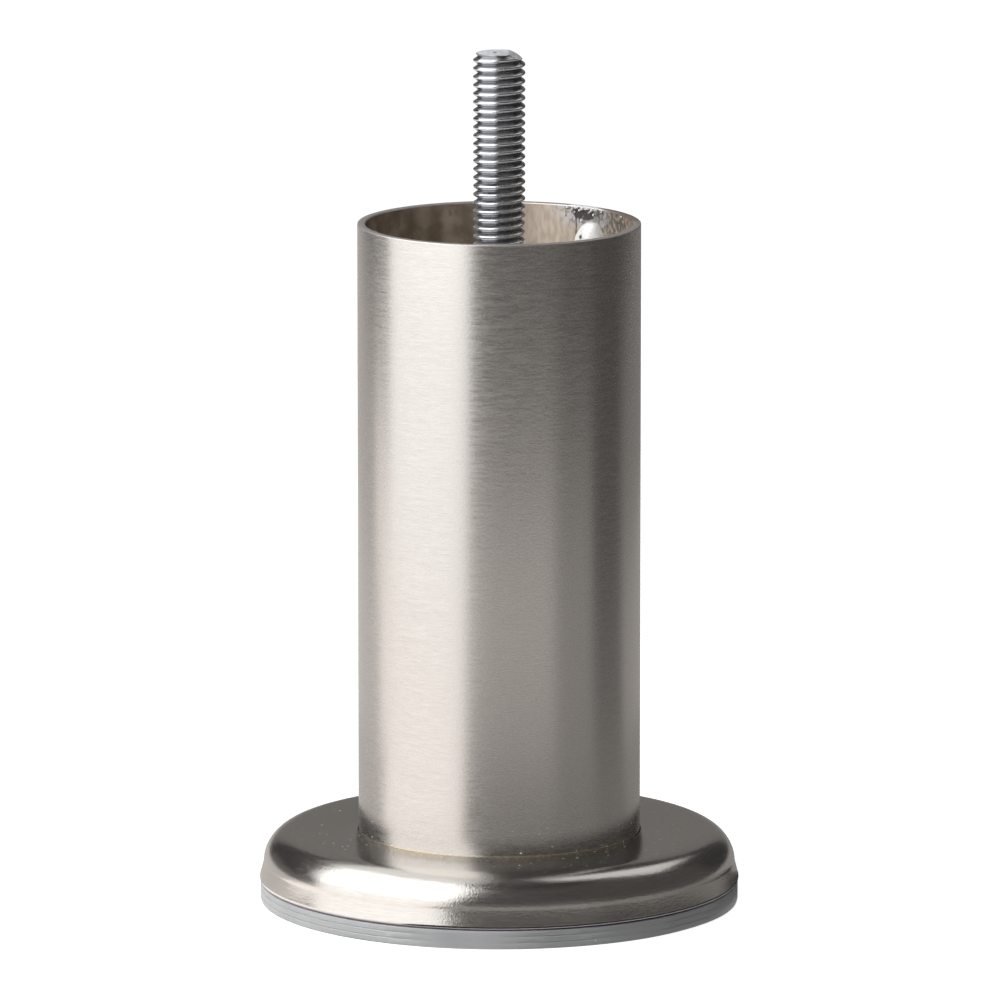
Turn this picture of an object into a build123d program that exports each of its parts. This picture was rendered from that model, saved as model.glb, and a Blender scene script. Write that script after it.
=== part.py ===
from build123d import *
import math
import os

# Furniture leg: a steel tube welded into a pressed base flange, with a moulded glide under
# the flange and an M8 stud that a weld nut and a disc hold inside the top of the tube.
# Millimetres. Z is the leg's axis, and the leg stands on the plane z = 0.

# Tube
tube_diameter = 42.0
tube_wall = 1.2
rim_height = 102.0
rim_chamfer = 0.2

# Base flange, pressed from sheet. Its diameter is over the flared lip.
flange_diameter = 71.6
flange_height = 10.6
flange_sheet = 1.2
shoulder_radius = 5.0
lip_flare = 0.6
lip_chamfer = 0.4
tube_clearance = 0.1

# Weld on the flange's hidden side
tube_foot_reach = 2.5
base_weld_leg = 2.0

# Glide: an outer rim that carries the lip, and a spigot that is pressed into the flange
glide_inset = 0.15
glide_rim_height = 2.75
glide_edge_chamfer = 0.2
foot_ring_width = 8.0
foot_recess = 0.8
spigot_clearance = 0.1
spigot_wall = 1.8
web_rib_count = 6
web_rib_thickness = 1.6
web_rib_height = 2.0

# Stud: an M8 rod, cropped with one side sheared down. Its free length is drawn at the
# thread's crests, and its length in the tapped disc and the nut at the pitch diameter.
stud_diameter = 7.9
stud_pitch_diameter = 7.2
stud_projection = 25.4
stud_end_chamfer = 0.6
sheared_side_start = 1.5
sheared_side_angle = 25.0
stud_tail = 1.5

# Disc and weld nut that hold the stud
disc_depth = 8.0
disc_thickness = 3.0
disc_clearance = 0.1
nut_across_flats = 13.0
nut_height = 6.5
nut_corner_angle = 30.0
thread_clearance = 0.05

# Tack welds between the disc and the tube
tack_count = 3
first_tack_angle = 45.0
tack_width = 7.6
tack_thickness = 2.6
tack_top_depth = 1.8

# Worked out from the sizes above
tube_radius = tube_diameter / 2
bore_radius = tube_radius - tube_wall
lip_radius = flange_diameter / 2
wall_radius = lip_radius - lip_flare
flat_radius = wall_radius - shoulder_radius
inner_wall_radius = wall_radius - flange_sheet
flange_underside = flange_height - flange_sheet
shoulder_foot = flange_height - shoulder_radius
flange_hole_radius = tube_radius + tube_clearance
tube_foot = flange_underside - tube_foot_reach
glide_radius = lip_radius - glide_inset
spigot_radius = inner_wall_radius - spigot_clearance
stud_radius = stud_diameter / 2
engaged_radius = stud_pitch_diameter / 2
tapped_radius = engaged_radius + thread_clearance
stud_top = rim_height + stud_projection
disc_top = rim_height - disc_depth
disc_underside = disc_top - disc_thickness
nut_foot = disc_underside - nut_height
stud_foot = nut_foot - stud_tail


def top_edges(part):
    return part.edges().filter_by(GeomType.CIRCLE).group_by(Axis.Z)[-1]


def bottom_edges(part):
    return part.edges().filter_by(GeomType.CIRCLE).group_by(Axis.Z)[0]


def make_tube():
    with BuildPart() as tube:
        with BuildSketch(Plane.XY.offset(tube_foot)):
            Circle(tube_radius)
            Circle(bore_radius, mode=Mode.SUBTRACT)
        extrude(amount=rim_height - tube_foot)
        chamfer(top_edges(tube), rim_chamfer)
    return tube.part


def make_base_flange():
    bend_radius = shoulder_radius - flange_sheet
    bend_middle = Vector(flat_radius, shoulder_foot) + Vector(bend_radius, 0).rotate(Axis.Z, 45)
    lip_top = glide_rim_height + lip_chamfer
    with BuildPart() as flange:
        with BuildSketch(Plane.XZ):
            with BuildLine():
                top = Line((flange_hole_radius, flange_height), (flat_radius, flange_height))
                shoulder = TangentArc(top @ 1, (wall_radius, shoulder_foot), tangent=top % 1)
                # The bend's hidden inside is drawn in two straight steps
                inside = Polyline(
                    shoulder @ 1,
                    (lip_radius, lip_top),
                    (lip_radius - lip_chamfer, glide_rim_height),
                    (lip_radius - flange_sheet, glide_rim_height),
                    (inner_wall_radius, shoulder_foot),
                    bend_middle,
                    (flat_radius, flange_underside),
                    (flange_hole_radius, flange_underside),
                )
                Line(inside @ 1, top @ 0)
            make_face()
        revolve(axis=Axis.Z)
    return flange.part


def make_base_weld():
    with BuildPart() as weld:
        with BuildSketch(Plane.XZ):
            Polygon(
                (tube_radius, flange_underside - base_weld_leg),
                (tube_radius + base_weld_leg, flange_underside),
                (tube_radius, flange_underside),
                align=None,
            )
        revolve(axis=Axis.Z)
    return weld.part


def make_glide():
    foot_ring_radius = glide_radius - foot_ring_width
    spigot_bore = spigot_radius - spigot_wall
    with BuildPart() as glide:
        with BuildSketch(Plane.XZ):
            Polygon(
                (0, foot_recess),
                (foot_ring_radius, foot_recess),
                (foot_ring_radius, 0),
                (glide_radius, 0),
                (glide_radius, glide_rim_height),
                (spigot_radius, glide_rim_height),
                (spigot_radius, shoulder_foot),
                (spigot_bore, shoulder_foot),
                (spigot_bore, glide_rim_height),
                (0, glide_rim_height),
                align=None,
            )
        revolve(axis=Axis.Z)
        chamfer(bottom_edges(glide).sort_by(SortBy.RADIUS)[-1], glide_edge_chamfer)
        with BuildSketch(Plane.XY.offset(glide_rim_height)):
            with PolarLocations(spigot_bore / 2, web_rib_count):
                Rectangle(spigot_bore, web_rib_thickness)
        extrude(amount=web_rib_height)
    return glide.part


def make_stud():
    sheared_side = Plane((sheared_side_start, 0, stud_top)).rotated((0, sheared_side_angle, 0))
    with BuildPart() as stud:
        with BuildSketch(Plane.XY.offset(stud_foot)):
            Circle(engaged_radius)
        extrude(amount=disc_top - stud_foot)
        chamfer(bottom_edges(stud), stud_end_chamfer)
        with BuildSketch(Plane.XY.offset(disc_top)):
            Circle(stud_radius)
        extrude(amount=stud_top - disc_top)
        chamfer(top_edges(stud), stud_end_chamfer)
        split(bisect_by=sheared_side, keep=Keep.BOTTOM)
    return stud.part


def make_mounting_disc():
    with BuildPart() as disc:
        with BuildSketch(Plane.XY.offset(disc_underside)):
            Circle(bore_radius - disc_clearance)
            Circle(tapped_radius, mode=Mode.SUBTRACT)
        extrude(amount=disc_thickness)
    return disc.part


def make_stud_nut():
    face_radius = nut_across_flats / 2
    corner_radius = face_radius / math.cos(math.radians(30))
    corner_rise = (corner_radius - face_radius) * math.tan(math.radians(nut_corner_angle))
    with BuildPart() as nut:
        with BuildSketch(Plane.XY.offset(nut_foot)):
            RegularPolygon(face_radius, 6, major_radius=False)
        extrude(amount=nut_height)
        with BuildSketch(Plane.XZ):
            Polygon(
                (0, nut_foot),
                (face_radius, nut_foot),
                (corner_radius, nut_foot + corner_rise),
                (corner_radius, disc_underside),
                (0, disc_underside),
                align=None,
            )
        revolve(axis=Axis.Z, mode=Mode.INTERSECT)
        with Locations((0, 0, nut_foot + nut_height / 2)):
            Hole(tapped_radius)
    return nut.part


def make_tack_welds():
    tack_height = disc_depth - tack_top_depth
    arch_foot = disc_top + tack_height - tack_width / 2
    mound_radius = ((tack_width / 2) ** 2 + tack_thickness ** 2) / (2 * tack_thickness)
    mound_axis = bore_radius + mound_radius - tack_thickness
    with BuildPart() as tack:
        with BuildSketch(Plane.YZ):
            with Locations((0, arch_foot)):
                Circle(tack_width / 2)
                Rectangle(tack_width, tack_height, align=(Align.CENTER, Align.MAX))
        extrude(amount=bore_radius)
        with BuildSketch(Plane.XY.offset(disc_top)):
            Circle(bore_radius)
            with Locations((mound_axis, 0)):
                Circle(mound_radius, mode=Mode.INTERSECT)
        extrude(amount=tack_height, mode=Mode.INTERSECT)
    angles = [first_tack_angle + 360 * index / tack_count for index in range(tack_count)]
    return Compound(children=[Rot(0, 0, angle) * tack.part for angle in angles])


pieces = {
    "tube": make_tube(),
    "base_flange": make_base_flange(),
    "base_weld": make_base_weld(),
    "glide": make_glide(),
    "stud": make_stud(),
    "mounting_disc": make_mounting_disc(),
    "stud_nut": make_stud_nut(),
    "tack_welds": make_tack_welds(),
}

os.makedirs("parts", exist_ok=True)
for name, piece in pieces.items():
    export_step(piece, f"parts/{name}.step")
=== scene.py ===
import math

import bmesh
import bpy
from mathutils import Matrix, Vector, noise


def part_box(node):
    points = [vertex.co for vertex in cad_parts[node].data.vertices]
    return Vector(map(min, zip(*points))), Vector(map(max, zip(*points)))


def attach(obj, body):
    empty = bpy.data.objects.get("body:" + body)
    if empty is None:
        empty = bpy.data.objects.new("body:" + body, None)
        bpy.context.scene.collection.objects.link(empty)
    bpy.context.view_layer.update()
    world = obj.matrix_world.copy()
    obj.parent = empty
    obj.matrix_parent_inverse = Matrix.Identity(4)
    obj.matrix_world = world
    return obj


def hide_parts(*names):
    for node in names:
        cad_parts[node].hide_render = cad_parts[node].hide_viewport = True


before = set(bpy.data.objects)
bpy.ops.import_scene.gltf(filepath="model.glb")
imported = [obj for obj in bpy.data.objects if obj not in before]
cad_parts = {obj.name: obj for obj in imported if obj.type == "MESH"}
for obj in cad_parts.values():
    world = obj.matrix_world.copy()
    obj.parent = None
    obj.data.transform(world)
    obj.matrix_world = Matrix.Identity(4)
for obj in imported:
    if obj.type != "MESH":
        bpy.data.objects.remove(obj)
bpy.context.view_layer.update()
MM = 0.001

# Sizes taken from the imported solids, in millimetres
tube_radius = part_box("tube")[1].x / MM
tube_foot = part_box("tube")[0].z / MM
rim_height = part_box("tube")[1].z / MM
lip_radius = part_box("base_flange")[1].x / MM
lip_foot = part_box("base_flange")[0].z / MM
flange_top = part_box("base_flange")[1].z / MM
glide_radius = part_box("glide")[1].x / MM
spigot_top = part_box("glide")[1].z / MM
stud_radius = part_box("stud")[1].x / MM
stud_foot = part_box("stud")[0].z / MM
stud_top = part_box("stud")[1].z / MM
disc_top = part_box("mounting_disc")[1].z / MM

# Sizes that only the drawing of these pieces needs, in millimetres
tube_wall = 1.2
bore_radius = tube_radius - tube_wall
flange_sheet = 1.2
flange_hole_radius = tube_radius + 0.1
shoulder_radius = 5.0
lip_flare = 0.6
foot_ring_width = 8.0
foot_recess = 0.8
spigot_clearance = 0.1
spigot_wall = 1.8
groove_heights = (0.95, 1.88)
groove_depth = 0.12
thread_pitch = 1.25
thread_root_radius = 3.2
thread_undersize = 0.08
crest_height_on_left = 122.55
end_face_radius = 3.35
sheared_side_start = 1.5
sheared_side_angle = 25.0
tack_angles = (45.0, 165.0, 285.0)
seam_angle = 54.5
weld_depth = 4.5
soot_depth = 0.95
soot_turn = 4.5
merge_distance = 0.002


def mm(*values):
    return Vector([value * MM for value in values])


def wall_point(angle, radius, height):
    """The point at an angle round the leg's axis from +X, in degrees."""
    turn = math.radians(angle)
    return mm(radius * math.cos(turn), radius * math.sin(turn), height)


def turned(corners, steps):
    """Turns an outline of (radius, height, rounding, segments) corners about the leg's axis.
    One eighth is spun in steps, and the other seven are copies of it."""
    bm = bmesh.new()
    ring = [bm.verts.new(mm(radius, 0, height)) for radius, height, _, _ in corners]
    for first, second in zip(ring, ring[1:] + ring[:1]):
        bm.edges.new((first, second))
    for vert, (_, _, rounding, segments) in zip(ring, corners):
        if rounding:
            bmesh.ops.bevel(
                bm,
                geom=[vert],
                offset=rounding * MM,
                offset_type="OFFSET",
                segments=segments,
                profile=0.5,
                affect="VERTICES",
                material=-1,
            )
    bmesh.ops.remove_doubles(bm, verts=bm.verts[:], dist=merge_distance * MM)
    eighth = math.radians(45)
    bmesh.ops.spin(bm, geom=bm.verts[:] + bm.edges[:], axis=(0, 0, 1), angle=eighth, steps=steps // 8)
    bmesh.ops.spin(
        bm,
        geom=bm.verts[:] + bm.edges[:] + bm.faces[:],
        axis=(0, 0, 1),
        angle=7 * eighth,
        steps=7,
        use_duplicate=True,
    )
    bmesh.ops.remove_doubles(bm, verts=bm.verts[:], dist=merge_distance * MM)
    bmesh.ops.recalc_face_normals(bm, faces=bm.faces[:])
    return bm


def finish_piece(name, bm, materials, node, sharp_angle=35):
    mesh = bpy.data.meshes.new(name)
    bm.to_mesh(mesh)
    bm.free()
    for material in materials:
        mesh.materials.append(material)
    mesh.shade_smooth()
    mesh.set_sharp_from_angle(angle=math.radians(sharp_angle))
    piece = bpy.data.objects.new(name, mesh)
    bpy.context.scene.collection.objects.link(piece)
    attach(piece, "root")
    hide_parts(node)


# Node helpers

def feed(tree, socket, value):
    if isinstance(value, bpy.types.NodeSocket):
        tree.links.new(value, socket)
    else:
        socket.default_value = value


def calc(tree, operation, first, second=0.0):
    node = tree.nodes.new("ShaderNodeMath")
    node.operation = operation
    for socket, value in zip(node.inputs, (first, second)):
        feed(tree, socket, value)
    return node.outputs[0]


def vector_calc(tree, operation, first, second=(0, 0, 0)):
    node = tree.nodes.new("ShaderNodeVectorMath")
    node.operation = operation
    feed(tree, node.inputs[0], first)
    feed(tree, node.inputs[1], second)
    return node.outputs["Value" if operation in ("LENGTH", "DISTANCE", "DOT_PRODUCT") else "Vector"]


def spread(tree, value, low, high, to_low=0.0, to_high=1.0):
    node = tree.nodes.new("ShaderNodeMapRange")
    node.interpolation_type = "SMOOTHSTEP"
    for socket, number in zip(node.inputs, (value, low, high, to_low, to_high)):
        feed(tree, socket, number)
    return node.outputs[0]


def tint(tree, factor, first, second):
    node = tree.nodes.new("ShaderNodeMix")
    node.data_type = "RGBA"
    feed(tree, node.inputs[0], factor)
    for socket, colour in ((node.inputs[6], first), (node.inputs[7], second)):
        feed(tree, socket, colour if isinstance(colour, bpy.types.NodeSocket) else (*colour, 1))
    return node.outputs[2]


def mottle(tree, position, scale, detail=3.0, stretch=(1, 1, 1)):
    node = tree.nodes.new("ShaderNodeTexNoise")
    feed(tree, node.inputs["Vector"], vector_calc(tree, "MULTIPLY", position, stretch))
    node.inputs["Scale"].default_value = scale
    node.inputs["Detail"].default_value = detail
    return node.outputs[0]


def height_of(tree, position):
    parts = tree.nodes.new("ShaderNodeSeparateXYZ")
    tree.links.new(position, parts.inputs[0])
    return parts.outputs[2]


def radius_of(tree, position):
    return vector_calc(tree, "LENGTH", vector_calc(tree, "MULTIPLY", position, (1, 1, 0)))


def bump(tree, shader, height, strength, distance):
    node = tree.nodes.new("ShaderNodeBump")
    node.inputs["Strength"].default_value = strength
    node.inputs["Distance"].default_value = distance * MM
    tree.links.new(height, node.inputs["Height"])
    tree.links.new(node.outputs[0], shader.inputs["Normal"])


def new_material(name, metallic):
    material = bpy.data.materials.new(name)
    material.use_nodes = True
    tree = material.node_tree
    shader = tree.nodes["Principled BSDF"]
    shader.inputs["Metallic"].default_value = metallic
    position = tree.nodes.new("ShaderNodeTexCoord").outputs["Object"]
    return material, tree, shader, position


def new_group(name, inputs, outputs):
    group = bpy.data.node_groups.new(name, "ShaderNodeTree")
    for socket, kind in inputs:
        group.interface.new_socket(socket, in_out="INPUT", socket_type=kind)
    for socket, kind in outputs:
        group.interface.new_socket(socket, in_out="OUTPUT", socket_type=kind)
    return group, group.nodes.new("NodeGroupInput"), group.nodes.new("NodeGroupOutput")


def place_group(tree, group, **values):
    node = tree.nodes.new("ShaderNodeGroup")
    node.node_tree = group
    for name, value in values.items():
        feed(tree, node.inputs[name], value)
    return node


def make_brush_lines():
    """Fine lines that run round the leg's axis, on upright walls and flat rings alike."""
    group, inside, outside = new_group(
        "BrushLines",
        (("Position", "NodeSocketVector"), ("Along", "NodeSocketFloat"), ("Across", "NodeSocketFloat")),
        (("Lines", "NodeSocketFloat"),),
    )
    parts = group.nodes.new("ShaderNodeSeparateXYZ")
    group.links.new(inside.outputs["Position"], parts.inputs[0])
    across = calc(group, "SUBTRACT", parts.outputs[2], radius_of(group, inside.outputs["Position"]))
    joined = group.nodes.new("ShaderNodeCombineXYZ")
    feed(group, joined.inputs[0], calc(group, "MULTIPLY", parts.outputs[0], inside.outputs["Along"]))
    feed(group, joined.inputs[1], calc(group, "MULTIPLY", parts.outputs[1], inside.outputs["Along"]))
    feed(group, joined.inputs[2], calc(group, "MULTIPLY", across, inside.outputs["Across"]))
    group.links.new(mottle(group, joined.outputs[0], 1.0), outside.inputs["Lines"])
    return group


def make_dust():
    """Sparse specks."""
    group, inside, outside = new_group(
        "Dust",
        (("Position", "NodeSocketVector"), ("Scale", "NodeSocketFloat"), ("Size", "NodeSocketFloat")),
        (("Specks", "NodeSocketFloat"),),
    )
    cells = group.nodes.new("ShaderNodeTexVoronoi")
    group.links.new(inside.outputs["Position"], cells.inputs["Vector"])
    group.links.new(inside.outputs["Scale"], cells.inputs["Scale"])
    near = calc(group, "LESS_THAN", cells.outputs["Distance"], inside.outputs["Size"])
    group.links.new(near, outside.inputs["Specks"])
    return group


def make_seam_marks_and_gap_shade():
    """A pale brown, broken line where the tube stands in the flange, bright dust on both sides
    of it, and painted shade in the gap between the flange's lip and the glide."""
    group, inside, outside = new_group(
        "SeamDirtAndGapShade",
        (("Position", "NodeSocketVector"),),
        (("Line", "NodeSocketFloat"), ("Specks", "NodeSocketFloat"), ("GapShade", "NodeSocketFloat")),
    )
    position = inside.outputs["Position"]
    height = height_of(group, position)
    radius = radius_of(group, position)
    up = calc(group, "SUBTRACT", height, flange_top * MM)
    out = calc(group, "SUBTRACT", radius, tube_radius * MM)
    away = calc(group, "MAXIMUM", calc(group, "ABSOLUTE", up), calc(group, "ABSOLUTE", out))
    ragged = calc(group, "MULTIPLY", mottle(group, position, 1500.0), 0.5 * MM)
    line = spread(group, calc(group, "ADD", away, ragged), 0.3 * MM, 0.55 * MM, 1.0, 0.0)
    broken = spread(group, mottle(group, position, 60.0), 0.40, 0.58, 0.25, 1.0)
    group.links.new(calc(group, "MULTIPLY", line, broken), outside.inputs["Line"])
    specks = place_group(group, dust, Position=position, Scale=700.0, Size=0.11).outputs[0]
    low = spread(group, calc(group, "ABSOLUTE", up), 0.5 * MM, 6 * MM, 1.0, 0.0)
    near = calc(group, "MULTIPLY", low, spread(group, out, 0.5 * MM, 15 * MM, 1.0, 0.0))
    group.links.new(calc(group, "MULTIPLY", specks, near), outside.inputs["Specks"])
    # Painted shade: a darker band just above the lip's foot, where the lip meets the glide
    gap = spread(group, height, (lip_foot + 0.3) * MM, (lip_foot + 0.6) * MM, 1.0, 0.0)
    group.links.new(gap, outside.inputs["GapShade"])
    return group


def make_weld_marks():
    """Millimetres from the first tack weld and from the soot above it, and along the wall from
    it, positive towards the tube's inner seam."""
    group, inside, outside = new_group(
        "WeldMarks",
        (("Position", "NodeSocketVector"),),
        (("Distance", "NodeSocketFloat"), ("Soot", "NodeSocketFloat"), ("Side", "NodeSocketFloat")),
    )
    position = inside.outputs["Position"]
    tack = wall_point(tack_angles[0], bore_radius, rim_height - weld_depth)
    distance = vector_calc(group, "DISTANCE", position, tack)
    flat = Vector((1, 1, 2.4))
    soot_centre = wall_point(tack_angles[0] + soot_turn, bore_radius, rim_height - soot_depth) * flat
    soot = vector_calc(group, "DISTANCE", vector_calc(group, "MULTIPLY", position, flat), soot_centre)
    along = wall_point(tack_angles[0] + 90, 1 / MM, 0)
    side = vector_calc(group, "DOT_PRODUCT", position, along)
    for name, value in (("Distance", distance), ("Soot", soot), ("Side", side)):
        group.links.new(calc(group, "DIVIDE", value, MM), outside.inputs[name])
    return group


seam_foot = wall_point(seam_angle, bore_radius, 0)
brush_lines = make_brush_lines()
dust = make_dust()
seam_dirt_and_gap_shade = make_seam_marks_and_gap_shade()
weld_marks = make_weld_marks()


def brushed_nickel(name, dark, light, roughness, relief, grit):
    """Satin nickel, brushed round the axis. Relief is the depth of its lines, grit that of its pits."""
    material, tree, shader, position = new_material(name, 1.0)
    fine = place_group(tree, brush_lines, Position=position, Along=600.0, Across=8000.0).outputs[0]
    wide = place_group(tree, brush_lines, Position=position, Along=150.0, Across=2500.0).outputs[0]
    grain = calc(tree, "ADD", calc(tree, "MULTIPLY", fine, 0.7), calc(tree, "MULTIPLY", wide, 0.3))
    colour = tint(tree, spread(tree, grain, 0.3, 0.7), dark, light)
    seam = place_group(tree, seam_dirt_and_gap_shade, Position=position)
    # Painted shade in the gap between the lip and the glide
    colour = tint(tree, seam.outputs["GapShade"], colour, (0.28, 0.245, 0.28))
    colour = tint(tree, seam.outputs["Line"], colour, (0.74, 0.66, 0.52))
    colour = tint(tree, seam.outputs["Specks"], colour, (0.80, 0.72, 0.55))
    tree.links.new(colour, shader.inputs["Base Color"])
    stain = calc(tree, "MULTIPLY", seam.outputs["Line"], 0.25)
    dirt = calc(tree, "MAXIMUM", seam.outputs["Specks"], stain)
    tree.links.new(calc(tree, "SUBTRACT", 1.0, dirt), shader.inputs["Metallic"])
    gloss = spread(tree, grain, 0.25, 0.75, roughness - 0.04, roughness + 0.06)
    tree.links.new(gloss, shader.inputs["Roughness"])
    pitted = calc(tree, "MULTIPLY", mottle(tree, position, 3000.0, 1.0), grit)
    surface = calc(tree, "ADD", calc(tree, "MULTIPLY", fine, relief), pitted)
    bump(tree, shader, surface, 1.0, 0.02)
    return material


def cut_rim():
    material, tree, shader, position = new_material("cut_rim", 1.0)
    lines = place_group(tree, brush_lines, Position=position, Along=300.0, Across=6000.0).outputs[0]
    patches = mottle(tree, position, 900.0)
    marks = place_group(tree, weld_marks, Position=position)
    colour = tint(tree, lines, (0.55, 0.52, 0.50), (0.86, 0.84, 0.83))
    beside = spread(tree, marks.outputs["Side"], -1.5, -3.0)
    scorched = calc(tree, "MULTIPLY", beside, spread(tree, marks.outputs["Distance"], 16.0, 13.5))
    colour = tint(tree, scorched, colour, (0.52, 0.44, 0.37))
    # Near-white patches over the soot: a torn edge, partly a painted highlight
    ragged = calc(tree, "ADD", marks.outputs["Soot"], calc(tree, "MULTIPLY", patches, 4.0))
    torn_edge_and_highlight = spread(tree, ragged, 6.4, 5.2, 0.0, 0.85)
    colour = tint(tree, torn_edge_and_highlight, colour, (0.95, 0.95, 0.94))
    tree.links.new(colour, shader.inputs["Base Color"])
    tree.links.new(calc(tree, "SUBTRACT", 0.85, torn_edge_and_highlight), shader.inputs["Metallic"])
    shader.inputs["Roughness"].default_value = 0.38
    bump(tree, shader, lines, 0.2, 0.03)
    return material


def bore_steel():
    material, tree, shader, position = new_material("bore_steel", 0.5)
    blotches = mottle(tree, position, 320.0, 6.0)
    streaks = mottle(tree, position, 1500.0, 4.0, (1, 1, 0.3))
    flecks = mottle(tree, position, 2600.0, 3.0, (1, 0.6, 0.5))
    marks = place_group(tree, weld_marks, Position=position)
    distance = marks.outputs["Distance"]
    side = marks.outputs["Side"]
    colour = tint(tree, spread(tree, blotches, 0.3, 0.7), (0.23, 0.18, 0.135), (0.46, 0.38, 0.30))
    colour = tint(tree, spread(tree, streaks, 0.6, 0.78), colour, (0.15, 0.12, 0.095))
    # Heat tint on the seam's side of the weld, scorched and scratched steel on its other side
    heat = calc(tree, "ADD", distance, calc(tree, "MULTIPLY", blotches, 6.0))
    tan = calc(tree, "MULTIPLY", spread(tree, heat, 19.0, 11.0), spread(tree, side, -2.0, 0.0))
    tanned = tint(tree, spread(tree, streaks, 0.35, 0.65), (0.44, 0.37, 0.305), (0.58, 0.50, 0.425))
    colour = tint(tree, tan, colour, tanned)
    scorched = calc(tree, "MULTIPLY", spread(tree, heat, 18.0, 12.0), spread(tree, side, 0.0, -2.0))
    scratched = tint(tree, spread(tree, flecks, 0.4, 0.6), (0.17, 0.145, 0.125), (0.44, 0.385, 0.33))
    scratched = tint(tree, spread(tree, flecks, 0.62, 0.68), scratched, (0.85, 0.68, 0.36))
    colour = tint(tree, scorched, colour, scratched)
    # Blue-grey and black soot under the rim, the tube's seam, and painted shade on the far side of the
    # bore
    soot = calc(tree, "ADD", marks.outputs["Soot"], calc(tree, "MULTIPLY", streaks, 4.0))
    smoked = tint(tree, spread(tree, flecks, 0.42, 0.52), (0.25, 0.24, 0.235), (0.50, 0.50, 0.525))
    colour = tint(tree, spread(tree, soot, 8.8, 5.6, 0.0, 0.8), colour, smoked)
    black = tint(tree, spread(tree, flecks, 0.60, 0.66), (0.075, 0.07, 0.068), (0.5, 0.5, 0.48))
    colour = tint(tree, spread(tree, soot, 5.0, 4.2), colour, black)
    line = vector_calc(tree, "DISTANCE", vector_calc(tree, "MULTIPLY", position, (1, 1, 0)), seam_foot)
    ragged = calc(tree, "ADD", line, calc(tree, "MULTIPLY", streaks, 0.7 * MM))
    colour = tint(tree, spread(tree, ragged, 0.6 * MM, 0.4 * MM, 0.0, 0.75), colour, (0.07, 0.06, 0.05))
    # Painted shade: the bore darkens far from the first tack, on the wall that faces away from the
    # light
    shade = spread(tree, distance, 32.0, 39.5, 0.0, 0.75)
    colour = tint(tree, shade, colour, (0.09, 0.07, 0.055))
    tree.links.new(colour, shader.inputs["Base Color"])
    tree.links.new(spread(tree, blotches, 0.2, 0.8, 0.42, 0.62), shader.inputs["Roughness"])
    bump(tree, shader, streaks, 0.4, 0.06)
    return material


def zinc_plate():
    material, tree, shader, position = new_material("zinc_plate", 1.0)
    blotches = mottle(tree, position, 700.0, 5.0)
    radius = radius_of(tree, position)
    # Painted shade and highlight: darker in the thread's grooves, lighter on its crests
    crest = spread(tree, radius, (thread_root_radius + 0.1) * MM, (stud_radius - 0.1) * MM)
    colour = tint(tree, crest, (0.34, 0.35, 0.37), (0.84, 0.86, 0.89))
    colour = tint(tree, spread(tree, blotches, 0.62, 0.75), colour, (0.55, 0.55, 0.56))
    height = height_of(tree, position)
    smoke = spread(tree, height, (rim_height - 2) * MM, (rim_height + 9) * MM, 0.15, 0.0)
    tree.links.new(calc(tree, "SUBTRACT", 1.0, smoke), shader.inputs["Metallic"])
    tree.links.new(colour, shader.inputs["Base Color"])
    tree.links.new(spread(tree, blotches, 0.3, 0.7, 0.16, 0.3), shader.inputs["Roughness"])
    bump(tree, shader, blotches, 0.15, 0.05)
    return material


def sheared_steel():
    material, tree, shader, position = new_material("sheared_steel", 0.4)
    grain = mottle(tree, position, 1800.0, 4.0, (1, 0.15, 1))
    colour = tint(tree, spread(tree, grain, 0.35, 0.65), (0.48, 0.49, 0.51), (0.80, 0.81, 0.83))
    tree.links.new(colour, shader.inputs["Base Color"])
    shader.inputs["Roughness"].default_value = 0.45
    bump(tree, shader, grain, 0.5, 0.1)
    return material


def cropped_end():
    material, tree, shader, position = new_material("cropped_end", 0.3)
    grain = mottle(tree, position, 1600.0, 4.0, (1, 0.2, 1))
    colour = tint(tree, spread(tree, grain, 0.3, 0.7), (0.70, 0.73, 0.79), (0.90, 0.93, 0.98))
    pit = vector_calc(tree, "DISTANCE", position, mm(-0.6, 0.3, stud_top))
    colour = tint(tree, spread(tree, pit, 0.25 * MM, 0.4 * MM, 1.0, 0.0), colour, (0.08, 0.08, 0.09))
    tree.links.new(colour, shader.inputs["Base Color"])
    shader.inputs["Roughness"].default_value = 0.5
    bump(tree, shader, grain, 0.3, 0.05)
    return material


def weld_metal():
    material, tree, shader, position = new_material("weld_metal", 0.2)
    blotches = mottle(tree, position, 500.0, 4.0)
    # Near white: light weld metal, partly a painted highlight on the bead
    colour = tint(tree, spread(tree, blotches, 0.25, 0.42), (0.80, 0.80, 0.81), (1.0, 1.0, 0.99))
    side = place_group(tree, weld_marks, Position=position).outputs["Side"]
    # Painted shade: greyer on the bead's side towards the tube's seam
    colour = tint(tree, spread(tree, side, 1.8, 3.2, 0.0, 0.7), colour, (0.66, 0.68, 0.66))
    pit_centre = wall_point(tack_angles[0] + 2, bore_radius - 2.1, rim_height - 4.2)
    pit = vector_calc(tree, "DISTANCE", position, pit_centre)
    colour = tint(tree, spread(tree, pit, 0.2 * MM, 0.45 * MM, 1.0, 0.0), colour, (0.06, 0.06, 0.06))
    tree.links.new(colour, shader.inputs["Base Color"])
    tree.links.new(spread(tree, blotches, 0.3, 0.7, 0.25, 0.4), shader.inputs["Roughness"])
    bump(tree, shader, blotches, 0.15, 0.1)
    return material


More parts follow.
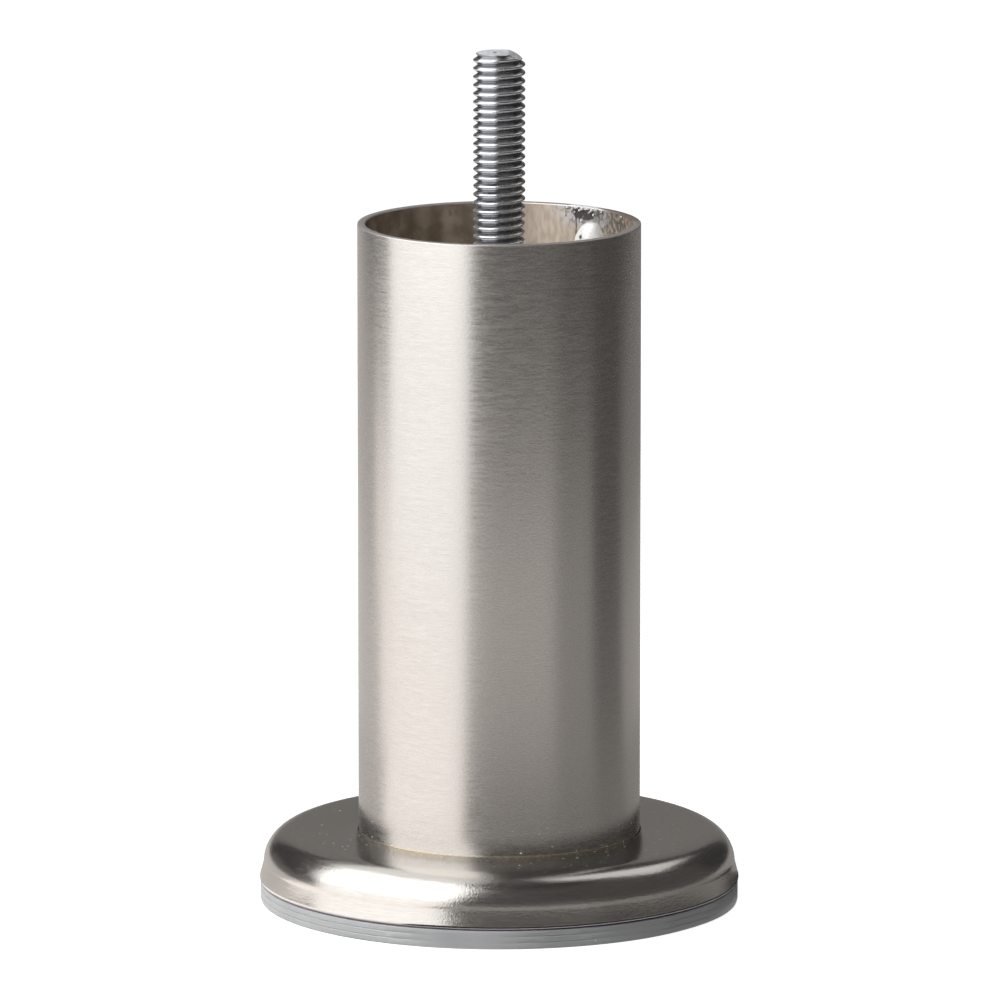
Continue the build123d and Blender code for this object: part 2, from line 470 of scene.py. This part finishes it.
def bare_steel():
    material, tree, shader, position = new_material("bare_steel", 0.8)
    blotches = mottle(tree, position, 220.0, 5.0)
    distance = place_group(tree, weld_marks, Position=position).outputs["Distance"]
    wander = calc(tree, "ADD", distance, calc(tree, "MULTIPLY", blotches, 4.0))
    colour = tint(tree, spread(tree, blotches, 0.3, 0.7), (0.27, 0.24, 0.21), (0.40, 0.37, 0.34))
    colour = tint(tree, spread(tree, wander, 12.5, 9.0), colour, (0.50, 0.38, 0.26))
    colour = tint(tree, spread(tree, wander, 9.0, 7.5), colour, (0.20, 0.22, 0.30))
    tree.links.new(colour, shader.inputs["Base Color"])
    tree.links.new(spread(tree, blotches, 0.2, 0.8, 0.35, 0.55), shader.inputs["Roughness"])
    bump(tree, shader, mottle(tree, position, 1500.0, 3.0), 0.2, 0.05)
    return material


def grey_plastic():
    material, tree, shader, position = new_material("grey_plastic", 0.0)
    cloud = mottle(tree, position, 90.0, 4.0)
    scuffs = place_group(tree, dust, Position=position, Scale=300.0, Size=0.05).outputs[0]
    colour = tint(tree, spread(tree, cloud, 0.3, 0.7), (0.38, 0.385, 0.39), (0.45, 0.455, 0.46))
    colour = tint(tree, scuffs, colour, (0.68, 0.68, 0.69))
    tree.links.new(colour, shader.inputs["Base Color"])
    tree.links.new(spread(tree, cloud, 0.2, 0.8, 0.42, 0.55), shader.inputs["Roughness"])
    bump(tree, shader, mottle(tree, position, 2600.0, 3.0), 0.12, 0.03)
    return material


# Pieces

def make_tube():
    rim_depth = 0.16
    bore_margin = 0.1
    bm = turned(
        (
            (tube_radius, tube_foot, 0, 0),
            (tube_radius, rim_height, 0.15, 3),
            (bore_radius, rim_height, 0.2, 3),
            (bore_radius, tube_foot, 0, 0),
        ),
        360,
    )
    for face in bm.faces:
        centre = face.calc_center_median()
        radius = math.hypot(centre.x, centre.y) / MM
        if centre.z / MM > rim_height - rim_depth:
            face.material_index = 1
        elif radius < bore_radius + bore_margin:
            face.material_index = 2
    outside = brushed_nickel("tube_nickel", (0.57, 0.55, 0.53), (0.65, 0.63, 0.61), 0.26, 0.08, 0.3)
    finishes = [outside, cut_rim(), bore_steel()]
    finish_piece("brushed_tube", bm, finishes, "tube", sharp_angle=50)


def make_flange():
    wall_radius = lip_radius - lip_flare
    inner_radius = wall_radius - flange_sheet
    underside = flange_top - flange_sheet
    shoulder_foot = flange_top - shoulder_radius
    bend = shoulder_radius - flange_sheet
    lip_edge = 0.45
    # The lip's corner stands out by what its rounding takes off
    lip_allowance = 0.034
    bm = turned(
        (
            (flange_hole_radius, flange_top, 0.15, 2),
            (wall_radius, flange_top, shoulder_radius, 24),
            (wall_radius, shoulder_foot, 0, 0),
            (lip_radius + lip_allowance, lip_foot + lip_edge, 0.3, 5),
            (lip_radius - lip_edge, lip_foot, 0.15, 2),
            (lip_radius - flange_sheet, lip_foot, 0.2, 2),
            (inner_radius, shoulder_foot, 0, 0),
            (inner_radius, underside, bend, 8),
            (flange_hole_radius, underside, 0, 0),
        ),
        360,
    )
    finish = brushed_nickel("flange_nickel", (0.65, 0.63, 0.60), (0.74, 0.715, 0.685), 0.2, 0.06, 0.75)
    finish_piece("pressed_flange", bm, [finish], "base_flange")


def make_glide():
    ring_radius = glide_radius - foot_ring_width
    spigot_radius = lip_radius - lip_flare - flange_sheet - spigot_clearance
    grooves = []
    for height in groove_heights:
        grooves.append((glide_radius, height - groove_depth, 0, 0))
        grooves.append((glide_radius - groove_depth, height, 0, 0))
        grooves.append((glide_radius, height + groove_depth, 0, 0))
    bm = turned(
        (
            (0, foot_recess, 0, 0),
            (ring_radius, foot_recess, 0.3, 3),
            (ring_radius, 0, 0.3, 3),
            (glide_radius, 0, 0.25, 3),
            *grooves,
            (glide_radius, lip_foot, 0.15, 3),
            (spigot_radius, lip_foot, 0, 0),
            (spigot_radius, spigot_top, 0.3, 2),
            (spigot_radius - spigot_wall, spigot_top, 0.3, 2),
            (spigot_radius - spigot_wall, lip_foot, 0, 0),
            (0, lip_foot, 0, 0),
        ),
        320,
    )
    # The grooves fade in and out round the edge
    for vert in bm.verts:
        radius = math.hypot(vert.co.x, vert.co.y)
        if abs(radius - (glide_radius - groove_depth) * MM) < 0.01 * MM:
            fade = min(1, max(0, 0.55 + 1.3 * noise.noise(vert.co * 70)))
            outwards = 1 + groove_depth * MM * fade / radius
            vert.co.x *= outwards
            vert.co.y *= outwards
    finish_piece("moulded_glide", bm, [grey_plastic()], "glide")


def make_stud():
    steps_a_turn = 72
    crest = stud_radius - thread_undersize
    root = thread_root_radius
    # One turn's outline as rises and radii
    outline = (
        (0.0, root), (0.05, root + 0.02), (0.10, root + 0.07), (0.36, crest - 0.2),
        (0.43, crest - 0.09), (0.51, crest - 0.025), (0.60, crest), (0.65, crest),
        (0.74, crest - 0.025), (0.82, crest - 0.09), (0.89, crest - 0.2), (1.15, root + 0.07),
        (1.20, root + 0.02), (thread_pitch, root),
    )
    crest_on_right = crest_height_on_left - thread_pitch / 2
    below = math.ceil((crest_on_right - stud_foot) / thread_pitch) + 1
    start = crest_on_right - thread_pitch * (below + 0.5)
    turns = math.ceil((stud_top - start) / thread_pitch) + 1
    bm = bmesh.new()
    line = [bm.verts.new(mm(radius, 0, start + rise)) for rise, radius in outline]
    for first, second in zip(line, line[1:]):
        bm.edges.new((first, second))
    bmesh.ops.spin(
        bm,
        geom=bm.verts[:] + bm.edges[:],
        axis=(0, 0, 1),
        dvec=(0, 0, thread_pitch * MM / steps_a_turn),
        angle=2 * math.pi,
        steps=steps_a_turn,
    )
    bmesh.ops.spin(
        bm,
        geom=bm.verts[:] + bm.edges[:] + bm.faces[:],
        axis=(0, 0, 1),
        dvec=(0, 0, thread_pitch * MM),
        angle=2 * math.pi * (turns - 1),
        steps=turns - 1,
        use_duplicate=True,
    )
    bmesh.ops.remove_doubles(bm, verts=bm.verts[:], dist=0.003 * MM)
    # The end's chamfer
    for vert in bm.verts:
        radius = math.hypot(vert.co.x, vert.co.y) / MM
        limit = end_face_radius + (stud_top - vert.co.z / MM)
        if radius > limit > 0:
            vert.co.x *= limit / radius
            vert.co.y *= limit / radius
    slant = math.radians(sheared_side_angle)
    cuts = (
        (mm(0, 0, stud_foot), Vector((0, 0, -1)), 1),
        (mm(0, 0, stud_top), Vector((0, 0, 1)), 1),
        (mm(sheared_side_start, 0, stud_top), Vector((math.sin(slant), 0, math.cos(slant))), 2),
    )
    for place, outwards, finish in cuts:
        cut = bmesh.ops.bisect_plane(
            bm,
            geom=bm.verts[:] + bm.edges[:] + bm.faces[:],
            plane_co=place,
            plane_no=outwards,
            clear_outer=True,
        )
        edges = [item for item in cut["geom_cut"] if isinstance(item, bmesh.types.BMEdge)]
        filled = bmesh.ops.triangle_fill(bm, edges=edges, use_beauty=True, normal=outwards)
        for item in filled["geom"]:
            if isinstance(item, bmesh.types.BMFace):
                item.material_index = finish
    bmesh.ops.recalc_face_normals(bm, faces=bm.faces[:])
    finishes = [zinc_plate(), cropped_end(), sheared_steel()]
    finish_piece("threaded_stud", bm, finishes, "stud", sharp_angle=40)


def add_bead(bm, centre, size, turn, rough, subdivisions):
    """A lump of weld metal, stretched to size, dented by noise and let into the tube's wall."""
    let_in = 0.3
    place = Matrix.Rotation(turn, 4, "Z") @ Matrix.Translation(centre)
    lump = bmesh.ops.create_icosphere(bm, subdivisions=subdivisions, radius=1.0)
    for vert in lump["verts"]:
        dent = noise.noise(vert.co * 1.7 + centre * 900) * rough
        spot = place @ Vector([axis * (1 + dent) * half for axis, half in zip(vert.co, size)])
        reach = math.hypot(spot.x, spot.y) / MM
        inwards = min(1, (bore_radius + let_in) / reach)
        vert.co = (spot.x * inwards, spot.y * inwards, spot.z)


def make_tack_beads():
    # Drops of metal over the first tack: degrees past it, depth under the rim, and width and
    # height in millimetres
    drops = (
        (13.6, 0.30, 0.34, 0.22), (11.3, 0.42, 0.20, 0.30), (9.4, 0.28, 0.46, 0.20),
        (7.6, 0.62, 0.18, 0.18), (6.1, 0.33, 0.34, 0.28), (3.4, 0.26, 0.52, 0.20),
        (1.9, 0.75, 0.16, 0.20), (0.6, 0.38, 0.30, 0.26), (-1.9, 0.24, 0.42, 0.18),
        (10.2, 0.95, 0.15, 0.15), (6.5, 2.05, 0.20, 0.22), (-0.6, 1.05, 0.22, 0.20),
        (-5.6, 0.48, 0.20, 0.18), (-21.8, 0.48, 0.24, 0.24), (15.1, 1.50, 0.12, 0.12),
        (-9.3, 1.62, 0.13, 0.13),
    )
    bead_centre = mm(bore_radius - 0.3, 0, disc_top + 2.0)
    bead_size = mm(2.0, 3.1, 3.9)
    bm = bmesh.new()
    for angle in tack_angles:
        add_bead(bm, bead_centre, bead_size, math.radians(angle), 0.06, 5)
    for past, depth, width, height in drops:
        centre = mm(bore_radius - 0.1, 0, rim_height - depth)
        size = mm(min(width, height), width, height)
        add_bead(bm, centre, size, math.radians(tack_angles[0] + past), 0.45, 3)
    finish_piece("tack_beads", bm, [weld_metal()], "tack_welds", sharp_angle=60)


make_tube()
make_flange()
make_glide()
make_stud()
make_tack_beads()

cad_finishes = {"mounting_disc": bare_steel(), "stud_nut": zinc_plate(), "base_weld": weld_metal()}
for node, finish in cad_finishes.items():
    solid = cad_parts[node]
    solid.data.materials.clear()
    solid.data.materials.append(finish)


# Studio: a white floor, lamps, and cards that only show as reflections in the metal

warm_white = (1.0, 0.985, 0.97)
warm_grey = (1.0, 0.95, 0.91)


def light_path_white(tree):
    """One for the rays that show the background, by sight, in metal or through glass."""
    path = tree.nodes.new("ShaderNodeLightPath")
    shown = calc(tree, "MAXIMUM", path.outputs["Is Camera Ray"], path.outputs["Is Glossy Ray"])
    return calc(tree, "MAXIMUM", shown, path.outputs["Is Transmission Ray"])


def make_floor():
    """A white floor just under the glide, clear from below so that the underside can be seen."""
    drop = 0.05
    bm = bmesh.new()
    bmesh.ops.create_grid(bm, x_segments=1, y_segments=1, size=6.0)
    bmesh.ops.translate(bm, vec=mm(0, 0, -drop), verts=bm.verts)
    mesh = bpy.data.meshes.new("floor")
    bm.to_mesh(mesh)
    bm.free()
    material = bpy.data.materials.new("floor_white")
    material.use_nodes = True
    tree = material.node_tree
    tree.nodes.clear()
    plain = tree.nodes.new("ShaderNodeBsdfDiffuse")
    plain.inputs[0].default_value = (0.4, 0.4, 0.4, 1)
    shaded = tree.nodes.new("ShaderNodeBsdfDiffuse")
    shaded.inputs[0].default_value = (0.5, 0.5, 0.5, 1)
    glow = tree.nodes.new("ShaderNodeEmission")
    glow.inputs[1].default_value = 0.88
    both = tree.nodes.new("ShaderNodeAddShader")
    tree.links.new(shaded.outputs[0], both.inputs[0])
    tree.links.new(glow.outputs[0], both.inputs[1])
    choice = tree.nodes.new("ShaderNodeMixShader")
    tree.links.new(light_path_white(tree), choice.inputs[0])
    tree.links.new(plain.outputs[0], choice.inputs[1])
    tree.links.new(both.outputs[0], choice.inputs[2])
    clear = tree.nodes.new("ShaderNodeBsdfTransparent")
    from_below = tree.nodes.new("ShaderNodeMixShader")
    tree.links.new(tree.nodes.new("ShaderNodeNewGeometry").outputs["Backfacing"], from_below.inputs[0])
    tree.links.new(choice.outputs[0], from_below.inputs[1])
    tree.links.new(clear.outputs[0], from_below.inputs[2])
    output = tree.nodes.new("ShaderNodeOutputMaterial")
    tree.links.new(from_below.outputs[0], output.inputs[0])
    mesh.materials.append(material)
    floor = bpy.data.objects.new("floor", mesh)
    bpy.context.scene.collection.objects.link(floor)


def make_world():
    world = bpy.data.worlds.new("studio")
    bpy.context.scene.world = world
    world.use_nodes = True
    tree = world.node_tree
    background = tree.nodes["Background"]
    background.inputs[0].default_value = (1, 1, 1, 1)
    shown = light_path_white(tree)
    tree.links.new(spread(tree, shown, 0.0, 1.0, 0.2, 1.0), background.inputs[1])


def direction(azimuth, elevation):
    """Azimuth from the camera's side of the leg, positive to its right, in degrees."""
    turn = math.radians(azimuth)
    lift = math.radians(elevation)
    return Vector((math.sin(turn) * math.cos(lift), -math.cos(turn) * math.cos(lift), math.sin(lift)))


def add_lamp(name, azimuth, elevation, distance, size, watts):
    light = bpy.data.lights.new(name, "AREA")
    light.shape = "SQUARE"
    light.size = size
    light.energy = watts
    lamp = bpy.data.objects.new(name, light)
    lamp.location = direction(azimuth, elevation) * distance
    lamp.rotation_euler = direction(azimuth, elevation).to_track_quat("Z", "Y").to_euler()
    lamp.visible_camera = False
    lamp.visible_glossy = False
    bpy.context.scene.collection.objects.link(lamp)


def finish_card(name, bm, strength, colour):
    mesh = bpy.data.meshes.new(name)
    bm.to_mesh(mesh)
    bm.free()
    material = bpy.data.materials.new(name)
    material.use_nodes = True
    tree = material.node_tree
    tree.nodes.clear()
    glow = tree.nodes.new("ShaderNodeEmission")
    glow.inputs[0].default_value = (*colour, 1)
    glow.inputs[1].default_value = strength
    output = tree.nodes.new("ShaderNodeOutputMaterial")
    tree.links.new(glow.outputs[0], output.inputs[0])
    mesh.materials.append(material)
    card = bpy.data.objects.new(name, mesh)
    bpy.context.scene.collection.objects.link(card)
    card.visible_camera = False
    card.visible_diffuse = False
    card.visible_shadow = False
    card.visible_transmission = False


def add_dome_card(name, azimuths, elevations, distance, strength):
    """A curved card on a dome round the leg."""
    bm = bmesh.new()
    low, high = elevations
    first, last = azimuths
    foot = bm.verts.new(direction(first, low) * distance)
    level = direction(first - 90, 0)
    bmesh.ops.spin(bm, geom=[foot], axis=level, angle=math.radians(high - low), steps=12)
    turn = math.radians(last - first)
    bmesh.ops.spin(bm, geom=bm.verts[:] + bm.edges[:], axis=(0, 0, 1), angle=turn, steps=48)
    finish_card(name, bm, strength, warm_grey)


def add_panel(name, corners, distance, strength):
    """A flat card between four directions from the leg."""
    bm = bmesh.new()
    verts = [bm.verts.new(direction(azimuth, elevation) * distance) for azimuth, elevation in corners]
    bmesh.ops.contextual_create(bm, geom=verts)
    finish_card(name, bm, strength, warm_white)


def add_floor_card(name, azimuths, radii, strength):
    """A flat card that lies on the floor round the leg."""
    bm = bmesh.new()
    first, last = azimuths
    above = mm(0, 0, 0.3)
    ends = [bm.verts.new(direction(first, 0) * radius * MM + above) for radius in radii]
    bm.edges.new(ends)
    turn = math.radians(last - first)
    bmesh.ops.spin(bm, geom=bm.verts[:] + bm.edges[:], axis=(0, 0, 1), angle=turn, steps=48)
    finish_card(name, bm, strength, warm_grey)


def make_camera():
    distance = 1.619
    elevation = 10.534
    target = mm(0.12, 0, 60.31)
    data = bpy.data.cameras.new("camera")
    data.lens = 392.4
    data.sensor_width = 36.0
    camera = bpy.data.objects.new("camera", data)
    camera.location = target + direction(0, elevation) * distance
    camera.rotation_euler = (math.radians(90 - elevation), 0, 0)
    bpy.context.scene.collection.objects.link(camera)
    bpy.context.scene.camera = camera


make_floor()
make_world()
add_dome_card("dim_room", (0, 360), (0, 90), 1.60, 0.04)
add_panel("softbox_low", ((-25, 0), (-23, 15), (-99, 15), (-96.5, 0)), 0.60, 1.4)
add_panel("softbox_middle", ((-23, 15), (-18, 35), (-113, 35), (-99, 15)), 0.60, 1.9)
add_panel("softbox_upper", ((-18, 35), (-18.5, 58), (-133, 50), (-113, 35)), 0.60, 1.9)
add_panel("softbox_over", ((-18.5, 58), (-42, 74), (-100, 66), (-133, 50)), 0.60, 1.9)
add_panel("ceiling_left", ((-42, 74), (-50, 84), (-150, 79), (-100, 66)), 0.60, 1.0)
add_panel("ceiling_back", ((-100, 66), (-150, 79), (-170, 43), (-129, 43)), 0.61, 1.0)
add_panel("right_strip", ((85, 76), (108, 43), (145, 35), (138, 77)), 0.62, 0.78)
add_dome_card("front_glow", (-25, 50), (0, 12), 1.50, 0.12)
add_dome_card("right_glow", (50, 125), (0, 12), 1.50, 0.08)
add_dome_card("right_room", (-15, 125), (12, 60), 1.55, 0.075)
add_dome_card("back_wall", (160, 201), (0, 36), 1.50, 0.19)
add_dome_card("left_glow", (210, 260), (0, 10), 1.50, 0.12)

# The floor as the metal shows it: lit by the softbox on the left, dimmer towards the right.
# Spans are in degrees from the camera's side, and reaches in millimetres from the leg's axis.
front = (-26, 45)
front_right = (45, 80)
right = (80, 115)
back_right = (115, 180)
near = (62, 150)
middle = (150, 400)
far = (400, 1480)
add_floor_card("floor_contact_shade", (-26, 115), (37, 62), 0.04)
add_floor_card("floor_front_near", front, near, 0.28)
add_floor_card("floor_front", front, middle, 0.52)
add_floor_card("floor_front_far", front, far, 0.90)
add_floor_card("floor_front_right_near", front_right, near, 0.28)
add_floor_card("floor_front_right", front_right, middle, 0.35)
add_floor_card("floor_front_right_far", front_right, far, 0.48)
add_floor_card("floor_right_near", right, near, 0.25)
add_floor_card("floor_right", right, middle, 0.20)
add_floor_card("floor_right_far", right, far, 0.11)
add_floor_card("floor_back_right_near", back_right, (37, 150), 0.30)
add_floor_card("floor_back_right", back_right, middle, 0.42)
add_floor_card("floor_back_right_far", back_right, far, 0.26)
add_floor_card("floor_back_left_near", (180, 262), (37, 150), 0.60)
add_floor_card("floor_back_left", (180, 251), middle, 0.72)
add_floor_card("floor_back_left_far", (180, 242), far, 0.58)
add_floor_card("floor_left_near", (262, 334), (37, 150), 1.33)
add_floor_card("floor_left", (251, 334), middle, 1.33)
add_floor_card("floor_left_far", (242, 334), far, 1.33)

add_lamp("key", -62, 38, 0.8, 0.55, 7.5)
add_lamp("fill", 50, 35, 1.0, 0.6, 0.25)
add_lamp("top", 0, 88, 0.9, 0.5, 0.9)
make_camera()

settings = bpy.context.scene.view_settings
settings.view_transform = "Standard"
